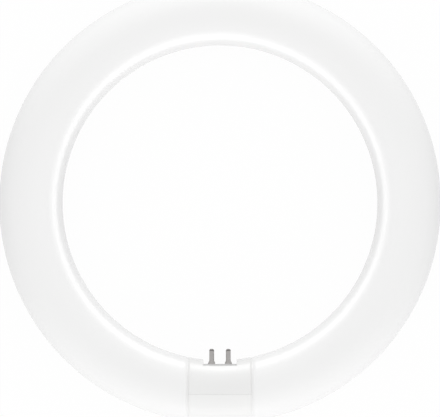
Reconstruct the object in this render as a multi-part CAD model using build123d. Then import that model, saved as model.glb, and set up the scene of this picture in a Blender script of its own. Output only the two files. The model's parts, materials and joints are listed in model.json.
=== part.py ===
from build123d import *
import math
import os

# A circular LED tube for a four-pin holder. The ring lies flat: +Z is the ring's axis, the cap is at -Y
# and its contact pins point to the ring's centre. Sizes are in millimetres.

# Ring, whose bend is drawn as short chords, so many to a full circle
ring_diameter = 210.0
tube_diameter = 30.2
ring_chords = 40

# Cap, two moulded halves that close round the tube's necks
cap_length = 30.4
cap_wall = 1.6
joint_gap = 0.3
split_offset = 1.1
split_gap = 0.1
lip_length = 3.0
outer_chords = 4
inner_chords = 2

# Necks at the tube's ends
neck_step = 3.2
flange_clearance = 0.6

# Notch with the flat land that the pins stand on
notch_width = 15.9
notch_depth = 2.1
land_thickness = 1.8

# Contact pins
pin_pitch_x = 7.92
pin_pitch_z = 6.35
pin_diameter = 2.35
pin_height = 7.4
pin_collar_diameter = 3.5
pin_collar_height = 2.1
pin_shank_diameter = 3.0
pin_rivet_diameter = 3.6
pin_rivet_thickness = 0.5

# Driver board
board_length = 19.2
board_thickness = 1.2
board_rise = 3.9
board_end_gap = 0.4
board_side_gap = 0.5
part_margin = 2.2

# Supports moulded on the cap halves
post_width = 2.2
ledge_width = 2.4
ledge_depth = 1.1
support_inset = 0.3
rib_clearance = 0.6

# Snap hooks
hook_width = 5.0
hook_thickness = 1.2
hook_rise = 3.0
hook_nose = 0.7
hook_nose_height = 1.4
hook_wall_gap = 0.4

# Parts on the driver board
input_capacitor_diameter = 8.0
input_capacitor_height = 11.5
output_capacitor_diameter = 6.3
output_capacitor_height = 9.0
inductor_length = 8.0
inductor_depth = 4.6
inductor_height = 9.5
inductor_yoke = 1.4
inductor_middle_leg = 2.2
inductor_outer_leg = 1.1
inductor_winding_width = 8.0
inductor_winding_rounding = 1.4
film_capacitor_length = 7.2
film_capacitor_height = 8.0
fuse_diameter = 2.6
fuse_length = 7.0
varistor_diameter = 6.0
varistor_thickness = 3.2
rectifier_length = 4.7
rectifier_width = 3.8
rectifier_height = 1.6
chip_length = 4.9
chip_width = 3.9
chip_height = 1.5
part_spacing = 1.6
can_chamfer = 0.3

# Leads
pin_lead_width = 1.2
pin_lead_thickness = 0.6
tube_lead_diameter = 1.3
tube_lead_pitch = 4.0
tube_lead_rise = 3.0
tube_lead_bend = 1.0
tube_lead_depth = 4.0
tube_lead_inset = 2.4

# Clearances
fit_gap = 0.1
snug_gap = 0.05

tube_radius = tube_diameter / 2
centre_radius = ring_diameter / 2 - tube_radius
cap_half = cap_length / 2
cavity_radius = tube_radius - cap_wall
lip_inner_x = cap_half - lip_length
split_y = -centre_radius - split_offset
neck_radius = tube_radius - neck_step
flange_radius = cavity_radius - flange_clearance
shoulder_x = cap_half + joint_gap
neck_end_x = board_length / 2 + board_end_gap
neck_y = -math.sqrt(centre_radius**2 - (cap_half - lip_length / 2) ** 2)
land_y = -centre_radius + tube_radius - notch_depth
roof_y = land_y - land_thickness
board_top_y = -centre_radius + board_rise
board_bottom_y = board_top_y - board_thickness


def cavity_half_width(rise):
    """Half the cavity's width, at a height above the tube's centreline."""
    return math.sqrt(cavity_radius**2 - rise**2)


hook_outer_z = cavity_half_width(hook_rise) - hook_wall_gap
hook_inner_z = hook_outer_z - hook_thickness
board_half_width = hook_inner_z - board_side_gap
support_x = board_length / 2 - support_inset - post_width / 2
post_z = board_half_width - support_inset - post_width / 2
column_x = board_length / 4
far = ring_diameter
full_depth = (-far, far)
cap_side = (-far, 0)


def span(middle, length):
    """The limits of a length centred on a middle."""
    return middle - length / 2, middle + length / 2


def block(x, y, z):
    """A box between three pairs of limits."""
    size = [high - low for low, high in (x, y, z)]
    middle = [(low + high) / 2 for low, high in (x, y, z)]
    return Pos(*middle) * Box(*size)


def rod_x(diameter, first_x, last_x, y, z):
    """A round rod that lies along X."""
    rod = Rot(0, 90, 0) * Cylinder(diameter / 2, last_x - first_x)
    return Pos((first_x + last_x) / 2, y, z) * rod


def rod_y(diameter, low_y, high_y, x, z):
    """A round rod that stands along Y."""
    rod = Rot(90, 0, 0) * Cylinder(diameter / 2, high_y - low_y)
    return Pos(x, (low_y + high_y) / 2, z) * rod


def round_sweep(radius, points):
    """A round section along straight runs that meet in mitres."""
    path = Polyline(*points)
    start = Plane(origin=path @ 0, z_dir=path % 0)
    return sweep(start * Circle(radius), path, transition=Transition.RIGHT)


def ring_bend(radius, angles):
    """A round section along chords of the ring's centreline, whose ends are at angles counted from -Y."""
    return round_sweep(radius, [(centre_radius * math.sin(a), -centre_radius * math.cos(a)) for a in angles])


def cap_form(radius, chords):
    """A round section along the cap's stretch of the ring."""
    reach = math.asin((cap_half + cap_wall) / centre_radius)
    return ring_bend(radius, [reach * (2 * i / chords - 1) for i in range(chords + 1)])


def tube_end(side):
    """The neck and flange at one end of the bend, which the cap grips."""
    neck = sorted((side * neck_end_x, side * (shoulder_x + fit_gap)))
    flange = sorted((side * neck_end_x, side * (lip_inner_x - fit_gap)))
    return rod_x(2 * neck_radius, *neck, neck_y, 0) + rod_x(2 * flange_radius, *flange, neck_y, 0)


def opal_tube():
    """The sealed tube: one long bend, cut square at each side of the cap, with a neck at each end."""
    start = math.asin(neck_end_x / centre_radius)
    step = 2 * math.pi / ring_chords
    first_full = math.ceil(start / step)
    full_chords = [step * i for i in range(first_full, ring_chords - first_full + 1)]
    tube = ring_bend(tube_radius, [start, *full_chords, 2 * math.pi - start])
    tube -= block((-shoulder_x, shoulder_x), cap_side, full_depth)
    tube += tube_end(1)
    tube += tube_end(-1)
    for z in tube_lead_places():
        tube -= lead_hole(z)
    return tube


def tube_lead_places():
    return (-tube_lead_pitch / 2, tube_lead_pitch / 2)


def lead_hole(z):
    """Blind hole in the neck's end, where a lead enters the tube."""
    depth = tube_lead_depth + fit_gap
    y = board_top_y + tube_lead_rise
    return rod_x(tube_lead_diameter + 2 * snug_gap, neck_end_x, neck_end_x + depth, y, z)


def cap_body():
    """Both cap halves in one, with the cavity, the lips that grip the necks, and the notch."""
    body = cap_form(tube_radius, outer_chords) & block(span(0, cap_length), cap_side, full_depth)
    cavity = cap_form(cavity_radius, inner_chords)
    cavity &= block((-lip_inner_x, lip_inner_x), cap_side, full_depth)
    land_half = notch_width / 2 + cap_wall
    cavity -= block((-land_half, land_half), (roof_y, 0), full_depth)
    body -= cavity
    for side in (-1, 1):
        limits = sorted((side * (lip_inner_x - fit_gap), side * (cap_half + fit_gap)))
        body -= rod_x(2 * (neck_radius + fit_gap), *limits, neck_y, 0)
    return body - block(span(0, notch_width), (land_y, 0), full_depth)


def pin_places():
    return [(x * pin_pitch_x / 2, z * pin_pitch_z / 2) for z in (-1, 1) for x in (-1, 1)]


def hook(side):
    """A spring arm on the outer half, with a nose that snaps into the inner half's wall."""
    top = -centre_radius + hook_rise
    z = sorted((side * hook_inner_z, side * hook_outer_z))
    arm = block(span(0, hook_width), (-centre_radius - tube_radius, top), z)
    outline = Polyline(
        (hook_outer_z - snug_gap, top - hook_nose_height),
        (hook_outer_z + hook_nose, top - hook_nose_height),
        (hook_outer_z + hook_nose, top - hook_nose_height / 2),
        (hook_outer_z - snug_gap, top),
        close=True,
    )
    nose = Pos(-hook_width / 2, 0, 0) * extrude(Plane.ZY * make_face(outline), -hook_width)
    if side < 0:
        nose = mirror(nose, Plane.XY)
    return arm & cap_form(cavity_radius + cap_wall / 2, inner_chords), nose


def hook_pocket(side):
    """The recess in the inner half's wall that takes a hook's nose."""
    top = -centre_radius + hook_rise
    z = sorted((side * hook_inner_z, side * (hook_outer_z + hook_nose + fit_gap)))
    limits_y = (top - hook_nose_height - fit_gap, top + fit_gap)
    return block(span(0, hook_width + 2 * fit_gap), limits_y, z)


def cap_inner_half():
    """The half towards the ring's centre: it carries the pins and presses on the board."""
    half = cap_body() & block(full_depth, (split_y + split_gap / 2, 0), full_depth)
    inner_skin = cap_form(cavity_radius + cap_wall / 2, inner_chords)
    limits_y = (board_top_y + snug_gap, land_y - cap_wall / 2)
    for x in (-support_x, support_x):
        for z in (-post_z, post_z):
            post = block(span(x, post_width), limits_y, span(z, post_width))
            half += post & inner_skin
    for side in (-1, 1):
        half -= hook_pocket(side)
    for x, z in pin_places():
        half -= rod_y(pin_shank_diameter + 2 * snug_gap, roof_y - 1, land_y + 1, x, z)
    return half


def cap_outer_half():
    """The half away from the ring's centre: its hooks hold the inner half, its ledges carry the board."""
    half = cap_body() & block(full_depth, (-far, split_y - split_gap / 2), full_depth)
    inner_skin = cap_form(cavity_radius + cap_wall / 2, inner_chords)
    ledge_z = board_half_width - ledge_depth
    ledge_outer_z = cavity_half_width(board_rise - board_thickness) - rib_clearance
    limits_y = (-centre_radius - tube_radius, board_bottom_y - snug_gap)
    for side in (-1, 1):
        limits_z = sorted((side * ledge_z, side * ledge_outer_z))
        for x in (-support_x, support_x):
            ledge = block(span(x, ledge_width), limits_y, limits_z)
            half += ledge & inner_skin
        half += hook(side)
    return half


def contact_pin(x, z):
    """A pin turned about Y: rivet head under the land, shank, tapered collar and shaft."""
    shaft = pin_diameter / 2
    shank = pin_shank_diameter / 2
    collar = pin_collar_diameter / 2
    rivet = pin_rivet_diameter / 2
    rivet_low = -land_thickness - pin_rivet_thickness
    outline = Polyline(
        (0, pin_height),
        (0, rivet_low),
        (rivet, rivet_low),
        (rivet, -land_thickness),
        (shank, -land_thickness),
        (shank, 0),
        (collar, 0),
        (shaft, pin_collar_height),
        (shaft, pin_height),
        close=True,
    )
    return Pos(x, land_y, z) * revolve(make_face(outline), Axis.Y, 360)


def pin_leads():
    """Four flat leads, one from each pin's rivet head to the board."""
    limits_y = (board_top_y, roof_y - pin_rivet_thickness)
    leads = []
    for x, z in pin_places():
        leads.append(block(span(x, pin_lead_thickness), limits_y, span(z, pin_lead_width)))
    return Compound(leads)


def driver_board():
    return block(span(0, board_length), (board_bottom_y, board_top_y), (-board_half_width, board_half_width))


def can(diameter, height, x, z):
    """An electrolytic capacitor hanging from the board, with a chamfered can."""
    body = rod_y(diameter, board_bottom_y - height, board_bottom_y, x, z)
    return chamfer(body.edges().group_by(Axis.Y)[0], can_chamfer)


def against_edge(width):
    """Distance from the board's middle to the middle of a part that stands near a long edge."""
    return board_half_width - part_margin - width / 2


def input_capacitor():
    z = against_edge(input_capacitor_diameter)
    return can(input_capacitor_diameter, input_capacitor_height, -column_x, z)


def output_capacitor():
    z = -against_edge(output_capacitor_diameter)
    return can(output_capacitor_diameter, output_capacitor_height, -column_x, z)


def inductor_core():
    """Two E-shaped ferrites face to face: three legs along Y between two yokes."""
    low = board_bottom_y - inductor_height
    limits_z = span(against_edge(inductor_winding_width), inductor_depth)
    core = block(span(column_x, inductor_length), (low, board_bottom_y), limits_z)
    window = inductor_length / 2 - inductor_outer_leg - inductor_middle_leg / 2
    for side in (-1, 1):
        middle = column_x + side * (inductor_middle_leg + window) / 2
        core -= block(span(middle, window), (low + inductor_yoke, board_bottom_y - inductor_yoke), limits_z)
    return core


def inductor_winding():
    """The winding round the core's middle leg, proud of the core on both sides."""
    z = against_edge(inductor_winding_width)
    low = board_bottom_y - inductor_height + inductor_yoke + snug_gap
    high = board_bottom_y - inductor_yoke - snug_gap
    length = inductor_length - 2 * (inductor_outer_leg + snug_gap)
    winding = block(span(column_x, length), (low, high), span(z, inductor_winding_width))
    winding = fillet(winding.edges().filter_by(Axis.Y), inductor_winding_rounding)
    leg_x = span(column_x, inductor_middle_leg + 2 * snug_gap)
    return winding - block(leg_x, (low - 1, high + 1), span(z, inductor_depth + 2 * snug_gap))


def fuse_z():
    """The fuse resistor's middle, just inside the ledges that carry the board."""
    return -(board_half_width - ledge_depth - board_side_gap - fuse_diameter / 2)


def fuse_resistor():
    """A round resistor lying against the board's underside."""
    y = board_bottom_y - fuse_diameter / 2
    return rod_x(fuse_diameter, *span(column_x, fuse_length), y, fuse_z())


def film_capacitor():
    """A film capacitor's moulded box, which fills the space between the fuse resistor and the inductor."""
    near = fuse_z() + fuse_diameter / 2 + part_spacing
    far_z = against_edge(inductor_winding_width) - inductor_winding_width / 2 - part_spacing
    limits_y = (board_bottom_y - film_capacitor_height, board_bottom_y)
    box = block(span(column_x, film_capacitor_length), limits_y, (near, far_z))
    return chamfer(box.edges().group_by(Axis.Y)[0], can_chamfer)


def varistor():
    """A coated disc that stands on the board at its left end."""
    low_x = -board_length / 2 + part_margin / 2
    y = board_top_y + varistor_diameter / 2
    return rod_x(varistor_diameter, low_x, low_x + varistor_thickness, y, 0)


def flat_part(length, width, height, side):
    """A small moulded package lying on top of the board, between the pin leads and a long edge."""
    near = pin_pitch_z / 2 + pin_lead_width / 2 + part_spacing
    z = sorted((side * near, side * (near + width)))
    body = block(span(0, length), (board_top_y, board_top_y + height), z)
    return chamfer(body.edges().group_by(Axis.Y)[-1], can_chamfer)


def bridge_rectifier():
    return flat_part(rectifier_length, rectifier_width, rectifier_height, -1)


def driver_chip():
    return flat_part(chip_length, chip_width, chip_height, 1)


def tube_lead(z):
    """A lead from the board's top, round one bend and into the tube's neck."""
    x = neck_end_x - tube_lead_inset
    high = board_top_y + tube_lead_rise
    points = (
        (x, board_top_y, z),
        (x, high - tube_lead_bend, z),
        (x + tube_lead_bend, high, z),
        (neck_end_x + tube_lead_depth, high, z),
    )
    return round_sweep(tube_lead_diameter / 2, points)


def model():
    nodes = {
        "opal_tube": opal_tube(),
        "cap_inner_half": cap_inner_half(),
        "cap_outer_half": cap_outer_half(),
        "pin_leads": pin_leads(),
        "driver_board": driver_board(),
        "bridge_rectifier": bridge_rectifier(),
        "driver_chip": driver_chip(),
        "input_capacitor": input_capacitor(),
        "output_capacitor": output_capacitor(),
        "inductor_core": inductor_core(),
        "inductor_winding": inductor_winding(),
        "film_capacitor": film_capacitor(),
        "fuse_resistor": fuse_resistor(),
        "varistor": varistor(),
    }
    corners = ("rear_left", "rear_right", "front_left", "front_right")
    for corner, (x, z) in zip(corners, pin_places()):
        nodes["contact_pin_" + corner] = contact_pin(x, z)
    for name, z in zip(("lead_negative", "lead_positive"), tube_lead_places()):
        nodes[name] = tube_lead(z)
    return nodes


os.makedirs("parts", exist_ok=True)
for name, shape in model().items():
    # the ring rests on its tube's lowest line, at z = 0
    export_step(Pos(0, 0, tube_radius) * shape, "parts/" + name + ".step")
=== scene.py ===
import json
import math

import bmesh
import bpy
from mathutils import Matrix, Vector


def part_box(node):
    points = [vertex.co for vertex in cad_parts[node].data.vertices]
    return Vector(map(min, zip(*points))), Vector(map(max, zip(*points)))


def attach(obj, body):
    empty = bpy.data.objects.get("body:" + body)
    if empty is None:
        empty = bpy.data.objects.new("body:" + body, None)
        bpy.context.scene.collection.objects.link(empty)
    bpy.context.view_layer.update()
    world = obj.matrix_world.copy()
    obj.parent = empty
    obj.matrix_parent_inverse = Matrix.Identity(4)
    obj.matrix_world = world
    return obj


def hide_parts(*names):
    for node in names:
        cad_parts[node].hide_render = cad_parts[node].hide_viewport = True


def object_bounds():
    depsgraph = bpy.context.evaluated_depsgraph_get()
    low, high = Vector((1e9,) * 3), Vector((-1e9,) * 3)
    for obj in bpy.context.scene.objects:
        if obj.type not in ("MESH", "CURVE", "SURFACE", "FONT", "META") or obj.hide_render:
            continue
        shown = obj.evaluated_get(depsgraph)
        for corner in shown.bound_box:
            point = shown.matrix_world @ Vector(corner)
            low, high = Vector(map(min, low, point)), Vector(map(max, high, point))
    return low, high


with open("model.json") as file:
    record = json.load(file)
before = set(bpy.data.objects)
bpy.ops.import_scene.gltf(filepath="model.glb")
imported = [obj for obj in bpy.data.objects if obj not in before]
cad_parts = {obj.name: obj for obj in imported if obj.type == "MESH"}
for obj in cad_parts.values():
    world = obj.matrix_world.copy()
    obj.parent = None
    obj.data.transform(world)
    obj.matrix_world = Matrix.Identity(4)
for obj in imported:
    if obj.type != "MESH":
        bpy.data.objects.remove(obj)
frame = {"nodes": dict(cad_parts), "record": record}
cad_low, cad_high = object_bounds()

# Sizes read from the frame. The ring's axis is the Z axis, and the cap is at -Y.
MM = 0.001
mid_z = (cad_low.z + cad_high.z) / 2
tube_radius = (cad_high.z - cad_low.z) / 2
outer_radius = min(cad_high.x, -cad_low.x, cad_high.y, -cad_low.y)
centre_radius = outer_radius - tube_radius
inner_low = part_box("cap_inner_half")[0]
outer_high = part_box("cap_outer_half")[1]
pin_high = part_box("contact_pin_front_left")[1]
board_low, board_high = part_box("driver_board")
cap_half = outer_high.x
split_y = inner_low.y
floor_z = cad_low.z

# Sizes shared with the CAD source
cap_wall = 1.6 * MM
lip_length = 3.0 * MM
neck_step = 3.2 * MM
neck_clearance = 0.1 * MM
flange_clearance = 0.6 * MM
notch_half = 7.95 * MM
land_thickness = 1.8 * MM
pin_height = 7.4 * MM
pin_radius = 1.175 * MM
pin_shank_radius = 1.5 * MM
pin_collar_radius = 1.75 * MM
pin_collar_height = 2.1 * MM
pin_rivet_radius = 1.8 * MM
pin_rivet_thickness = 0.5 * MM
board_end_gap = 0.4 * MM
board_side_gap = 0.5 * MM
support_inset = 0.3 * MM
post_width = 2.2 * MM
ledge_width = 2.4 * MM
ledge_depth = 1.1 * MM
rib_clearance = 0.6 * MM
hook_width = 5.0 * MM
hook_thickness = 1.2 * MM
hook_rise = 3.0 * MM
hook_nose = 0.7 * MM
hook_nose_height = 1.4 * MM
snug_gap = 0.05 * MM

# Seams between the tube and the cap: a hairline gap in a dip, deepest just past the cap's end and on top
seam_gap = 0.02 * MM
joint_dip_width = 1.25 * MM
joint_dip_depth = 0.9 * MM
joint_dip_shift = 0.15 * MM
joint_side_share = 0.35

# Rounded edges. The notch's is the cap's largest, and its other bevels are made as shares of it.
notch_rounding = 0.2 * MM
split_rounding = 0.07 * MM
small_rounding = 0.08 * MM
pin_edge = 0.12 * MM
pin_tip_rounding = 0.9 * MM

# The pin plate's edge at the notch: it stands a little proud, lies under the skin, and a slot runs behind it
plate_rise = 0.3 * MM
plate_edge = 0.31 * MM
plate_step = 0.4 * MM
slot_width = 0.28 * MM
slot_depth = 1.4 * MM
slot_taper = 0.04 * MM

# How finely the meshes are cut
tube_section_steps = 120
bend_steps = 330
dip_steps = 8
notch_steps = 9
notch_wall_steps = 2
hollow_steps = 3
lip_steps = 3
outer_half_steps = 60
inner_side_steps = 22
plate_steps = 24
pin_section_steps = 64
pin_curve_steps = 8
bevel_segments = 4
skin_search_rounds = 12
sharp_angle = math.radians(30)
weld_distance = 0.001 * MM

# Worked out from those
shoulder_x = cap_half + seam_gap
lip_x = cap_half - lip_length
dip_middle_x = cap_half + joint_dip_shift
dip_end_x = dip_middle_x + joint_dip_width
neck_end_x = board_high.x + board_end_gap
neck_radius = tube_radius - neck_step
neck_y = -math.sqrt(centre_radius**2 - (cap_half - lip_length / 2) ** 2)
cavity_radius = tube_radius - cap_wall
flange_radius = cavity_radius - flange_clearance
wall_middle_radius = cavity_radius + cap_wall / 2
support_x = board_high.x - support_inset - post_width / 2
post_z = board_high.z - mid_z - support_inset - post_width / 2
hook_inner_z = board_high.z - mid_z + board_side_gap
hook_outer_z = hook_inner_z + hook_thickness
land_y = pin_high.y - pin_height
roof_y = land_y - land_thickness
plate_y = land_y + plate_rise
slot_near_y = plate_y - plate_edge
slot_far_y = slot_near_y - slot_width


def new_piece(name, mesh_builder, slot, *nodes):
    """A mesh object that stands for CAD nodes, rides on the one body and names its material slot."""
    mesh = bpy.data.meshes.new(name)
    mesh_builder.normal_update()
    mesh_builder.to_mesh(mesh)
    mesh_builder.free()
    piece = bpy.data.objects.new(name, mesh)
    bpy.context.scene.collection.objects.link(piece)
    mesh.shade_smooth()
    mesh.set_sharp_from_angle(angle=sharp_angle)
    mesh.materials.append(materials[slot])
    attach(piece, "root")
    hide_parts(*nodes)
    return piece


def add_grid(builder, rows):
    """Quads between rows of points, which all have the same number of points."""
    made = [[builder.verts.new(point) for point in row] for row in rows]
    for low, high in zip(made, made[1:]):
        for i in range(len(low) - 1):
            builder.faces.new((low[i], low[i + 1], high[i + 1], high[i]))


def add_sides(builder, first, second):
    """Quads round the outside of two loops of corners that face each other."""
    for i in range(len(first)):
        j = (i + 1) % len(first)
        builder.faces.new((first[i], first[j], second[j], second[i]))


def close_up(builder):
    """Welds the patches' shared borders, and turns all faces outwards."""
    bmesh.ops.remove_doubles(builder, verts=builder.verts[:], dist=weld_distance)
    turn_outwards(builder)


def turn_outwards(builder):
    bmesh.ops.recalc_face_normals(builder, faces=builder.faces[:])


def steps(low, high, count):
    """Evenly spaced values from low to high, both of them included."""
    return [low + (high - low) * i / count for i in range(count + 1)]


def same(first, second):
    """True for two lengths that are equal, apart from rounding."""
    return abs(first - second) < 2 * weld_distance


def ring_point(x, phi, radius):
    """A point of the ring's surface near the cap, x from its middle plane and phi round the section.

    phi is 0 on the ring's outer side and a half turn on its inner side.
    """
    rho = centre_radius + radius * math.cos(phi)
    return Vector((x, -math.sqrt(rho**2 - x**2), mid_z + radius * math.sin(phi)))


def phi_at(x, y, radius):
    """Where the ring's surface, at x, crosses the plane at y."""
    return math.acos((math.hypot(x, y) - centre_radius) / radius)


def skin_radius(x, phi):
    """The section's radius, with the dip at the seam between the tube and the cap."""
    near = max(0, 1 - ((abs(x) - dip_middle_x) / joint_dip_width) ** 2)
    share = joint_side_share + (1 - joint_side_share) * math.sin(phi) ** 4
    return tube_radius - joint_dip_depth * share * near**2


def skin_point(x, phi, sink=0):
    """A point of the ring's outside, or a little under it."""
    return ring_point(x, phi, skin_radius(x, phi) - sink)


def skin_phi(x, y, sink=0):
    """Where the ring's outside at x, or a surface a little under it, crosses the plane at y."""
    phi = math.pi / 2
    for _ in range(skin_search_rounds):
        phi = phi_at(x, y, skin_radius(x, phi) - sink)
    return phi


def on_surface(point, sink=0):
    """True on the ring's outside, or on a surface a little under it."""
    across = math.hypot(point.x, point.y) - centre_radius
    height = point.z - mid_z
    return same(math.hypot(across, height), skin_radius(point.x, math.atan2(height, across)) - sink)


# The opal tube
def neck_row(x, radius, angles):
    """A circle of the tube's straight neck, which lies inside the cap."""
    return [Vector((x, neck_y - radius * math.cos(a), mid_z + radius * math.sin(a))) for a in angles]


def bend_point(share, phi):
    """A point of the tube's bend beyond the dips, share of the way from the right end to the left end."""
    rho = centre_radius + tube_radius * math.cos(phi)
    first = math.asin(dip_end_x / rho)
    theta = first + (2 * math.pi - 2 * first) * share
    height = mid_z + tube_radius * math.sin(phi)
    return Vector((rho * math.sin(theta), -rho * math.cos(theta), height))


def tube_rows():
    """Rows of points round the section, from the right end's middle to the left end's middle."""
    around = steps(0, 2 * math.pi, tube_section_steps)
    neck = (
        (neck_end_x, 0),
        (neck_end_x, flange_radius),
        (lip_x - neck_clearance, flange_radius),
        (lip_x - neck_clearance, neck_radius),
        (shoulder_x, neck_radius),
    )
    near_end = [neck_row(x, radius, around) for x, radius in neck]
    for x in steps(shoulder_x, dip_end_x, dip_steps):
        near_end.append([skin_point(x, phi) for phi in around])
    bend = []
    for share in steps(0, 1, bend_steps)[1:-1]:
        bend.append([bend_point(share, phi) for phi in around])
    far_end = [[Vector((-point.x, point.y, point.z)) for point in row] for row in reversed(near_end)]
    return near_end + bend + far_end


def make_tube():
    """The sealed tube: one bend and two flanged necks."""
    builder = bmesh.new()
    add_grid(builder, tube_rows())
    close_up(builder)
    new_piece("ring_tube", builder, "opal_diffuser", "opal_tube")


# The cap's two halves
def cap_stations():
    """Places along the cap, each with its zone's middle. A border between two zones is named for both."""
    zones = (
        (0, notch_half, notch_steps),
        (notch_half, notch_half + cap_wall, notch_wall_steps),
        (notch_half + cap_wall, lip_x, hollow_steps),
        (lip_x, cap_half - joint_dip_width, lip_steps),
        (cap_half - joint_dip_width, cap_half, dip_steps),
    )
    half = []
    for low, high, count in zones:
        for place in steps(low, high, count):
            half.append((place, (low + high) / 2))
    return [(-place, zone) for place, zone in reversed(half)] + half


def hollow_radius(zone):
    """The cap's inside: the cavity, and the narrower bore of the lips."""
    return cavity_radius if zone < lip_x else neck_radius + neck_clearance


def join_skins(builder, outer, inner):
    """Closes the wall between an outer and an inner skin, along all four borders."""
    add_grid(builder, outer)
    add_grid(builder, inner)
    for index in (0, -1):
        add_grid(builder, [outer[index], inner[index]])
        add_grid(builder, [[row[index] for row in outer], [row[index] for row in inner]])


def cap_rounding(split_edge):
    """A function that says how much an edge of the cap is rounded, from its two ends."""

    def at_split(point):
        return same(point.y, split_edge) and on_surface(point)

    def at_notch_side(point):
        return same(abs(point.x), notch_half) and on_surface(point) and point.y > plate_y - weld_distance

    def at_slot(point):
        return same(point.y, slot_far_y) and on_surface(point) and abs(point.x) < notch_half + weld_distance

    def at_plate_edge(point):
        return same(point.y, plate_y) and on_surface(point, plate_step)

    roundings = (
        (at_split, split_rounding),
        (at_notch_side, notch_rounding),
        (at_slot, small_rounding),
        (at_plate_edge, small_rounding),
    )

    def rounding(first, second):
        for test, size in roundings:
            if test(first) and test(second):
                return size
        return 0.0

    return rounding


def round_edges(piece):
    """A bevel on the weighted edges, with the flat faces' normals kept."""
    bevel = piece.modifiers.new("rounded_edges", "BEVEL")
    bevel.limit_method = "WEIGHT"
    bevel.width = notch_rounding
    bevel.segments = bevel_segments
    bevel.use_clamp_overlap = False
    bevel.harden_normals = True


def make_shell(name, builder, node, split_edge):
    """A half of the cap, with its edges rounded."""
    turn_outwards(builder)
    rounding = cap_rounding(split_edge)
    layer = builder.edges.layers.float.new("bevel_weight_edge")
    for edge in builder.edges:
        edge[layer] = rounding(edge.verts[0].co, edge.verts[1].co) / notch_rounding
    piece = new_piece(name, builder, "cap_plastic", node)
    round_edges(piece)


def wall_y(x, z, side):
    """The middle of the cap's wall at x and z: side 1 is towards the ring's centre, and -1 away from it."""
    rho = centre_radius - side * math.sqrt(wall_middle_radius**2 - z**2)
    return -math.sqrt(rho**2 - x**2)


def add_rib(builder, x, width, z_limits, free_y, side):
    """An upright rib moulded on the cap: one end stops at free_y, and the other is rooted in the wall."""
    low_x = x - width / 2
    high_x = x + width / 2
    low_z, high_z = z_limits
    free = []
    rooted = []
    for place_x, place_z in ((low_x, low_z), (high_x, low_z), (high_x, high_z), (low_x, high_z)):
        free.append(builder.verts.new((place_x, free_y, mid_z + place_z)))
        rooted.append(builder.verts.new((place_x, wall_y(place_x, place_z, side), mid_z + place_z)))
    builder.faces.new(free)
    builder.faces.new(rooted)
    add_sides(builder, free, rooted)


def add_hook_nose(builder, side):
    """The wedge on a hook's outer side, which snaps into the other half's wall."""
    top = -centre_radius + hook_rise
    profile = (
        (hook_outer_z - snug_gap, top - hook_nose_height),
        (hook_outer_z + hook_nose, top - hook_nose_height),
        (hook_outer_z + hook_nose, top - hook_nose_height / 2),
        (hook_outer_z - snug_gap, top),
    )
    ends = []
    for x in (-hook_width / 2, hook_width / 2):
        ends.append([builder.verts.new((x, y, mid_z + side * z)) for z, y in profile])
        builder.faces.new(ends[-1])
    add_sides(builder, *ends)


def add_posts(builder):
    """The posts that hold the board down."""
    for x in (-support_x, support_x):
        for z in (-post_z, post_z):
            limits = (z - post_width / 2, z + post_width / 2)
            add_rib(builder, x, post_width, limits, board_high.y + snug_gap, 1)


def add_ledges_and_hooks(builder):
    """The ledges that carry the board, and the two spring hooks beside it."""
    ledge_z = board_high.z - mid_z - ledge_depth
    board_below = board_low.y - snug_gap
    outer_z = math.sqrt(cavity_radius**2 - (board_low.y + centre_radius) ** 2) - rib_clearance
    for side in (-1, 1):
        ledge_limits = (side * ledge_z, side * outer_z)
        for x in (-support_x, support_x):
            add_rib(builder, x, ledge_width, ledge_limits, board_below, -1)
        hook_limits = (side * hook_inner_z, side * hook_outer_z)
        add_rib(builder, 0, hook_width, hook_limits, -centre_radius + hook_rise, -1)
        add_hook_nose(builder, side)


def make_outer_half():
    """The half away from the ring's centre."""
    builder = bmesh.new()
    edge_y = split_y - seam_gap
    shares = steps(-1, 1, outer_half_steps)
    outer = []
    inner = []
    for x, zone in cap_stations():
        reach = skin_phi(x, edge_y)
        outer.append([skin_point(x, reach * share) for share in shares])
        radius = hollow_radius(zone)
        reach = phi_at(x, edge_y, radius)
        inner.append([ring_point(x, reach * share, radius) for share in shares])
    join_skins(builder, outer, inner)
    close_up(builder)
    add_ledges_and_hooks(builder)
    make_shell("cap_outer_shell", builder, "cap_outer_half", edge_y)


def inner_outside_row(x, zone):
    """Outside of the inner half at x. Between the notch's sides it has the slot and the pin plate."""
    in_notch = zone < notch_half
    step = plate_step if in_notch else 0
    depth = slot_depth if in_notch else 0
    taper = slot_taper if in_notch else 0
    side = [(phi, 0) for phi in steps(skin_phi(x, split_y), skin_phi(x, slot_far_y), inner_side_steps)]
    side.append((skin_phi(x, slot_far_y + taper, depth), depth))
    side.append((skin_phi(x, slot_near_y - taper, depth), depth))
    side.append((skin_phi(x, slot_near_y, step), step))
    plate_phi = skin_phi(x, plate_y, step)
    plate = [skin_point(x, phi, step) for phi in steps(plate_phi, 2 * math.pi - plate_phi, plate_steps)]
    if in_notch:
        for point in plate:
            point.y = plate_y
    upper = [skin_point(x, phi, sink) for phi, sink in side]
    lower = [skin_point(x, -phi, sink) for phi, sink in reversed(side)]
    return upper + plate + lower


def inner_inside_row(x, zone, count):
    """Inside of the inner half at x: the cavity, cut off flat under the land."""
    radius = hollow_radius(zone)
    first = phi_at(x, split_y, radius)
    row = []
    for phi in steps(first, 2 * math.pi - first, count - 1):
        point = ring_point(x, phi, radius)
        if zone < notch_half + cap_wall:
            point.y = min(point.y, roof_y)
        row.append(point)
    return row


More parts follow.
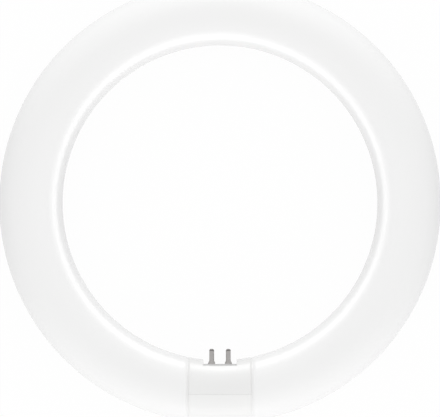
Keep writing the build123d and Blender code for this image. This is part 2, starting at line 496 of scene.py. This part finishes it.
def make_inner_half():
    """The half towards the ring's centre, with the notch and the land that the pins stand on."""
    builder = bmesh.new()
    outer = []
    inner = []
    for x, zone in cap_stations():
        outer.append(inner_outside_row(x, zone))
        inner.append(inner_inside_row(x, zone, len(outer[-1])))
    join_skins(builder, outer, inner)
    close_up(builder)
    add_posts(builder)
    make_shell("cap_inner_shell", builder, "cap_inner_half", split_y)


# The contact pins
def pin_profile():
    """Radius and height above the land, from the rivet head under it to the middle of the round tip."""
    rivet_low = -land_thickness - pin_rivet_thickness
    points = [
        (0, rivet_low),
        (pin_rivet_radius - pin_edge, rivet_low),
        (pin_rivet_radius, rivet_low + pin_edge),
        (pin_rivet_radius, -land_thickness),
        (pin_shank_radius, -land_thickness),
        (pin_shank_radius, 0),
        (pin_collar_radius - pin_edge, 0),
        (pin_collar_radius, pin_edge),
        (pin_collar_radius, 3 * pin_edge),
    ]
    cone_low = 4 * pin_edge
    cone_radius = pin_collar_radius - pin_edge / 2
    for share in steps(0, 1, pin_curve_steps):
        eased = 0.5 - 0.5 * math.cos(math.pi * share)
        radius = cone_radius + (pin_radius - cone_radius) * eased
        points.append((radius, cone_low + (pin_collar_height - cone_low) * share))
    for angle in steps(0, math.pi / 2, pin_curve_steps):
        radius = pin_radius - pin_tip_rounding * (1 - math.cos(angle))
        points.append((radius, pin_height - pin_tip_rounding * (1 - math.sin(angle))))
    points.append((0, pin_height))
    return points


def make_pin(node):
    """A turned pin on the land, where its CAD node stands."""
    low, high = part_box(node)
    x = (low.x + high.x) / 2
    z = (low.z + high.z) / 2
    around = steps(0, 2 * math.pi, pin_section_steps)
    rows = []
    for radius, height in pin_profile():
        y = land_y + height
        rows.append([Vector((x + radius * math.cos(a), y, z + radius * math.sin(a))) for a in around])
    builder = bmesh.new()
    add_grid(builder, rows)
    close_up(builder)
    new_piece(node.replace("contact_pin", "pin"), builder, "pin_metal", node)


# Materials. A mix node's sockets are named by number here, because their own names repeat.
factor_socket = 0
value_a_socket = 2
value_b_socket = 3
value_out_socket = 0
colour_a_socket = 6
colour_b_socket = 7
colour_out_socket = 2
texture_low = 0.3
texture_high = 0.7


def node_material(name, colour, roughness, metallic=0.0):
    """A principled material with its nodes at hand: the tree, its shader and the object's coordinates."""
    material = bpy.data.materials.new(name)
    material.use_nodes = True
    tree = material.node_tree
    shader = tree.nodes["Principled BSDF"]
    shader.inputs["Base Color"].default_value = (*colour, 1)
    shader.inputs["Roughness"].default_value = roughness
    shader.inputs["Metallic"].default_value = metallic
    coordinates = tree.nodes.new("ShaderNodeTexCoord")
    return material, tree, shader, coordinates.outputs["Object"]


def noise(tree, place, scale, detail=3.0):
    """Soft mottling. The scale is about the number of spots in a metre."""
    texture = tree.nodes.new("ShaderNodeTexNoise")
    texture.inputs["Scale"].default_value = scale
    texture.inputs["Detail"].default_value = detail
    tree.links.new(place, texture.inputs["Vector"])
    return texture.outputs["Fac"]


def ridges(tree, place, scale, distortion=0.0):
    """Fine ridges that follow each other along the object's Y axis."""
    texture = tree.nodes.new("ShaderNodeTexWave")
    texture.bands_direction = "Y"
    texture.inputs["Scale"].default_value = scale
    texture.inputs["Distortion"].default_value = distortion
    tree.links.new(place, texture.inputs["Vector"])
    return texture.outputs["Fac"]


def along_y(tree, place, low, high):
    """Rises from 0 to 1 between two places along the object's Y axis."""
    axes = tree.nodes.new("ShaderNodeSeparateXYZ")
    tree.links.new(place, axes.inputs["Vector"])
    ramp = tree.nodes.new("ShaderNodeMapRange")
    ramp.inputs["From Min"].default_value = low
    ramp.inputs["From Max"].default_value = high
    tree.links.new(axes.outputs["Y"], ramp.inputs["Value"])
    return ramp.outputs["Result"]


def blend_values(tree, first, second, share):
    """The first value, with a share of the second."""
    mix = tree.nodes.new("ShaderNodeMix")
    mix.inputs[factor_socket].default_value = share
    tree.links.new(first, mix.inputs[value_a_socket])
    tree.links.new(second, mix.inputs[value_b_socket])
    return mix.outputs[value_out_socket]


def blend_colours(tree, value, first, second):
    """The first colour where the value is 0, and the second where it is 1."""
    mix = tree.nodes.new("ShaderNodeMix")
    mix.data_type = "RGBA"
    mix.inputs[colour_a_socket].default_value = (*first, 1)
    mix.inputs[colour_b_socket].default_value = (*second, 1)
    tree.links.new(value, mix.inputs[factor_socket])
    return mix.outputs[colour_out_socket]


def vary_colour(tree, shader, value, first, second):
    """Blends the surface's colour by a texture or a place."""
    tree.links.new(blend_colours(tree, value, first, second), shader.inputs["Base Color"])


def vary_roughness(tree, shader, value, low, high):
    """Maps a texture's middle range to a small range of roughness."""
    ramp = tree.nodes.new("ShaderNodeMapRange")
    ramp.inputs["From Min"].default_value = texture_low
    ramp.inputs["From Max"].default_value = texture_high
    ramp.inputs["To Min"].default_value = low
    ramp.inputs["To Max"].default_value = high
    tree.links.new(value, ramp.inputs["Value"])
    tree.links.new(ramp.outputs["Result"], shader.inputs["Roughness"])


def bump(tree, shader, value, height):
    """A bump whose height is a real one, in metres."""
    node = tree.nodes.new("ShaderNodeBump")
    node.inputs["Distance"].default_value = height
    tree.links.new(value, node.inputs["Height"])
    tree.links.new(node.outputs["Normal"], shader.inputs["Normal"])


def opal_material():
    """Opal polycarbonate: milky white, satin, with a faint flow in the moulding."""
    material, tree, shader, place = node_material("opal_diffuser", (0.9, 0.9, 0.9), roughness=0.25)
    vary_roughness(tree, shader, noise(tree, place, scale=60), low=0.235, high=0.265)
    vary_colour(tree, shader, noise(tree, place, scale=25), (0.895, 0.895, 0.893), (0.905, 0.905, 0.905))
    bump(tree, shader, noise(tree, place, scale=900, detail=1.0), height=0.004 * MM)
    return material


def cap_material():
    """Moulded white polycarbonate with a fine spark-eroded surface. The outer half is a shade lighter."""
    material, tree, shader, place = node_material("cap_plastic", (0.85, 0.85, 0.845), roughness=0.25)
    vary_roughness(tree, shader, noise(tree, place, scale=200), low=0.24, high=0.268)
    tone_border = 0.1 * MM
    outer = along_y(tree, place, split_y, split_y - tone_border)
    mottled = blend_values(tree, outer, noise(tree, place, scale=80), share=0.3)
    vary_colour(tree, shader, mottled, (0.843, 0.843, 0.838), (0.878, 0.878, 0.873))
    bump(tree, shader, noise(tree, place, scale=3000, detail=2.0), height=0.003 * MM)
    return material


def pin_material():
    """Nickel-plated brass with fine turning marks round the pin, and painted shade that darkens its tip."""
    plating = (0.51, 0.495, 0.485)
    # Painted shade: a darker colour laid on the pin's tip in place of the shade that falls there.
    painted_tip_shade = (0.24, 0.23, 0.225)
    tip_shade_low_y = pin_high.y - 1.0 * MM
    tip_shade_border = 0.15 * MM
    material, tree, shader, place = node_material("pin_metal", plating, roughness=0.3, metallic=1.0)
    # Painted shade: the colour turns darker over the last millimetre of the pin, up to its tip.
    tip_shade_mask = along_y(tree, place, tip_shade_low_y, tip_shade_low_y + tip_shade_border)
    vary_colour(tree, shader, tip_shade_mask, plating, painted_tip_shade)
    vary_roughness(tree, shader, noise(tree, place, scale=1500), low=0.28, high=0.36)
    bump(tree, shader, ridges(tree, place, scale=2500, distortion=1.5), height=0.002 * MM)
    return material


def plain_material(name, colour, roughness, grain, metallic=0.0):
    """A small part's finish: one colour with a little mottling and grain."""
    shade = 0.9
    roughness_reach = 0.05
    low = roughness - roughness_reach
    high = roughness + roughness_reach
    material, tree, shader, place = node_material(name, colour, roughness, metallic)
    darker = tuple(shade * channel for channel in colour)
    vary_colour(tree, shader, noise(tree, place, grain / 4), darker, colour)
    vary_roughness(tree, shader, noise(tree, place, grain), low, high)
    bump(tree, shader, noise(tree, place, 2 * grain), height=0.01 * MM)
    return material


def winding_material():
    """Enamelled copper wire, whose turns show as fine ridges."""
    copper = (0.62, 0.27, 0.12)
    material, tree, shader, place = node_material("copper_wire", copper, roughness=0.3, metallic=1.0)
    bump(tree, shader, ridges(tree, place, scale=1100), height=0.08 * MM)
    return material


def board_material():
    """A pale board with a lighter and a darker tone, as solder mask over copper gives."""
    material, tree, shader, place = node_material("circuit_board", (0.75, 0.78, 0.7), roughness=0.35)
    cells = tree.nodes.new("ShaderNodeTexVoronoi")
    cells.distance = "MANHATTAN"
    cells.inputs["Scale"].default_value = 350
    tree.links.new(place, cells.inputs["Vector"])
    vary_colour(tree, shader, cells.outputs["Distance"], (0.8, 0.83, 0.76), (0.6, 0.66, 0.55))
    bump(tree, shader, cells.outputs["Distance"], height=0.02 * MM)
    return material


materials = {
    "opal_diffuser": opal_material(),
    "cap_plastic": cap_material(),
    "pin_metal": pin_material(),
    "tinned_copper": plain_material(
        "tinned_copper", (0.72, 0.71, 0.69), roughness=0.3, grain=2000, metallic=1.0
    ),
    "circuit_board": board_material(),
    "component_black": plain_material("component_black", (0.03, 0.03, 0.03), roughness=0.55, grain=4000),
    "capacitor_sleeve": plain_material("capacitor_sleeve", (0.04, 0.05, 0.09), roughness=0.3, grain=800),
    "ferrite": plain_material("ferrite", (0.09, 0.09, 0.095), roughness=0.6, grain=5000),
    "copper_wire": winding_material(),
    "film_yellow": plain_material("film_yellow", (0.85, 0.6, 0.12), roughness=0.35, grain=1200),
    "resistor_coat": plain_material("resistor_coat", (0.45, 0.62, 0.66), roughness=0.5, grain=3000),
    "varistor_blue": plain_material("varistor_blue", (0.08, 0.2, 0.5), roughness=0.3, grain=900),
    "lead_black": plain_material("lead_black", (0.03, 0.03, 0.03), roughness=0.45, grain=1500),
    "lead_red": plain_material("lead_red", (0.6, 0.04, 0.03), roughness=0.45, grain=1500),
}


def dress_cad_nodes():
    """Gives each CAD node that still shows its own slot's material."""
    for entry in frame["record"]["subparts"]:
        node = frame["nodes"][entry["node"]]
        if node.hide_render:
            continue
        for slot in node.material_slots:
            slot.material = materials[entry["material_slot"]]


# The photograph's view: the camera looks straight down, with the cap towards the picture's lower edge
photo_width_px = 440
photo_height_px = 417
ring_radius_px = 220.8
ring_centre_y_px = 202.8
camera_distance = 6.0
sensor_width_mm = 36

# The studio: a white one for the camera, and a dimmer one for the light that it throws back
white = (1, 1, 1)
white_strength = 1.0
floor_half_width = 6.0
floor_colour = (0.93, 0.93, 0.93)
floor_bounce = (0.5, 0.5, 0.5)
floor_whiteness = 0.97
world_strength = 0.8
lamp_distance = 1.25
lamp_size = 0.7
middle_lamp_radius = 0.01


def make_camera():
    """A camera high above the ring, which sees it almost without perspective."""
    pixel = outer_radius / ring_radius_px
    data = bpy.data.cameras.new("camera")
    camera = bpy.data.objects.new("camera", data)
    bpy.context.scene.collection.objects.link(camera)
    data.sensor_width = sensor_width_mm
    data.lens = data.sensor_width * camera_distance / (photo_width_px * pixel)
    offset = (photo_height_px / 2 - ring_centre_y_px) * pixel
    camera.location = (0, -offset, mid_z + camera_distance)
    data.clip_end = 2 * camera_distance
    bpy.context.scene.camera = camera


def seen_directly(tree):
    """1 for rays that should see the white studio rather than its light: camera, glossy and see-through."""
    path = tree.nodes.new("ShaderNodeLightPath")
    total = path.outputs["Is Camera Ray"]
    for name in ("Is Glossy Ray", "Is Transmission Ray"):
        larger = tree.nodes.new("ShaderNodeMath")
        larger.operation = "MAXIMUM"
        tree.links.new(total, larger.inputs[0])
        tree.links.new(path.outputs[name], larger.inputs[1])
        total = larger.outputs["Value"]
    return total


def floor_material():
    """White to the eye, with a little of the ring's shadow, and grey for the light that it throws up."""
    material = bpy.data.materials.new("floor")
    material.use_nodes = True
    tree = material.node_tree
    tree.nodes.clear()
    direct = seen_directly(tree)
    lit = tree.nodes.new("ShaderNodeBsdfDiffuse")
    tree.links.new(blend_colours(tree, direct, floor_bounce, floor_colour), lit.inputs["Color"])
    glow = tree.nodes.new("ShaderNodeEmission")
    glow.inputs["Strength"].default_value = white_strength
    share = tree.nodes.new("ShaderNodeMath")
    share.operation = "MULTIPLY"
    share.inputs[1].default_value = floor_whiteness
    tree.links.new(direct, share.inputs[0])
    mix = tree.nodes.new("ShaderNodeMixShader")
    tree.links.new(share.outputs["Value"], mix.inputs["Fac"])
    tree.links.new(lit.outputs["BSDF"], mix.inputs[1])
    tree.links.new(glow.outputs["Emission"], mix.inputs[2])
    output = tree.nodes.new("ShaderNodeOutputMaterial")
    tree.links.new(mix.outputs["Shader"], output.inputs["Surface"])
    return material


def make_floor():
    """The floor that the ring lies on."""
    mesh = bpy.data.meshes.new("floor")
    signs = ((-1, -1), (1, -1), (1, 1), (-1, 1))
    corners = [(x * floor_half_width, y * floor_half_width, floor_z) for x, y in signs]
    mesh.from_pydata(corners, [], [(0, 1, 2, 3)])
    floor = bpy.data.objects.new("floor", mesh)
    bpy.context.scene.collection.objects.link(floor)
    mesh.materials.append(floor_material())


def make_background(tree, strength):
    """A white background of a given strength."""
    background = tree.nodes.new("ShaderNodeBackground")
    background.inputs["Color"].default_value = (*white, 1)
    background.inputs["Strength"].default_value = strength
    return background.outputs["Background"]


def make_world():
    """White where the camera sees it, and dimmer as a light."""
    world = bpy.data.worlds.new("studio")
    bpy.context.scene.world = world
    world.use_nodes = True
    tree = world.node_tree
    tree.nodes.clear()
    path = tree.nodes.new("ShaderNodeLightPath")
    mix = tree.nodes.new("ShaderNodeMixShader")
    tree.links.new(path.outputs["Is Camera Ray"], mix.inputs["Fac"])
    tree.links.new(make_background(tree, world_strength), mix.inputs[1])
    tree.links.new(make_background(tree, white_strength), mix.inputs[2])
    output = tree.nodes.new("ShaderNodeOutputWorld")
    tree.links.new(mix.outputs["Shader"], output.inputs["Surface"])


def new_lamp(name, kind, power):
    """A lamp in the scene, and its data."""
    data = bpy.data.lights.new(name, kind)
    data.energy = power
    lamp = bpy.data.objects.new(name, data)
    bpy.context.scene.collection.objects.link(lamp)
    return lamp, data


def area_light(name, azimuth, elevation, power):
    """A soft round lamp without a glint, which faces the ring's middle. Its angles are in degrees."""
    lamp, data = new_lamp(name, "AREA", power)
    data.shape = "DISK"
    data.size = lamp_size
    turn = math.radians(azimuth)
    rise = math.radians(elevation)
    away = Vector((math.cos(turn) * math.cos(rise), math.sin(turn) * math.cos(rise), math.sin(rise)))
    lamp.location = Vector((0, 0, mid_z)) + away * lamp_distance
    lamp.rotation_euler = (-away).to_track_quat("-Z", "Y").to_euler()
    lamp.visible_glossy = False


def middle_light(name, height, power):
    """A small lamp on the ring's axis, at a height above the tube's middle."""
    lamp, data = new_lamp(name, "POINT", power)
    data.shadow_soft_size = middle_lamp_radius
    lamp.location = (0, 0, mid_z + height)
    lamp.visible_camera = False
    return lamp


def make_lights():
    """Soft lamps on all sides, a faint glow in the middle, and two glints along the ring's inside."""
    area_light("back_low", azimuth=90, elevation=12, power=4.2)
    area_light("back_soft", azimuth=90, elevation=35, power=0.95)
    area_light("front_low", azimuth=-90, elevation=12, power=5.3)
    area_light("right_low", azimuth=0, elevation=12, power=1.45)
    area_light("left_low", azimuth=180, elevation=12, power=1.3)
    middle_light("middle_glow", height=0.03, power=0.0062)
    glints = (
        middle_light("low_glint", height=-0.01, power=0.0116),
        middle_light("high_glint", height=0.01, power=0.0153),
    )
    for glint in glints:
        glint.visible_diffuse = False


make_tube()
make_outer_half()
make_inner_half()
for name in sorted(frame["nodes"]):
    if name.startswith("contact_pin_"):
        make_pin(name)
dress_cad_nodes()
make_camera()
make_floor()
make_world()
make_lights()
bpy.context.scene.view_settings.view_transform = "Standard"
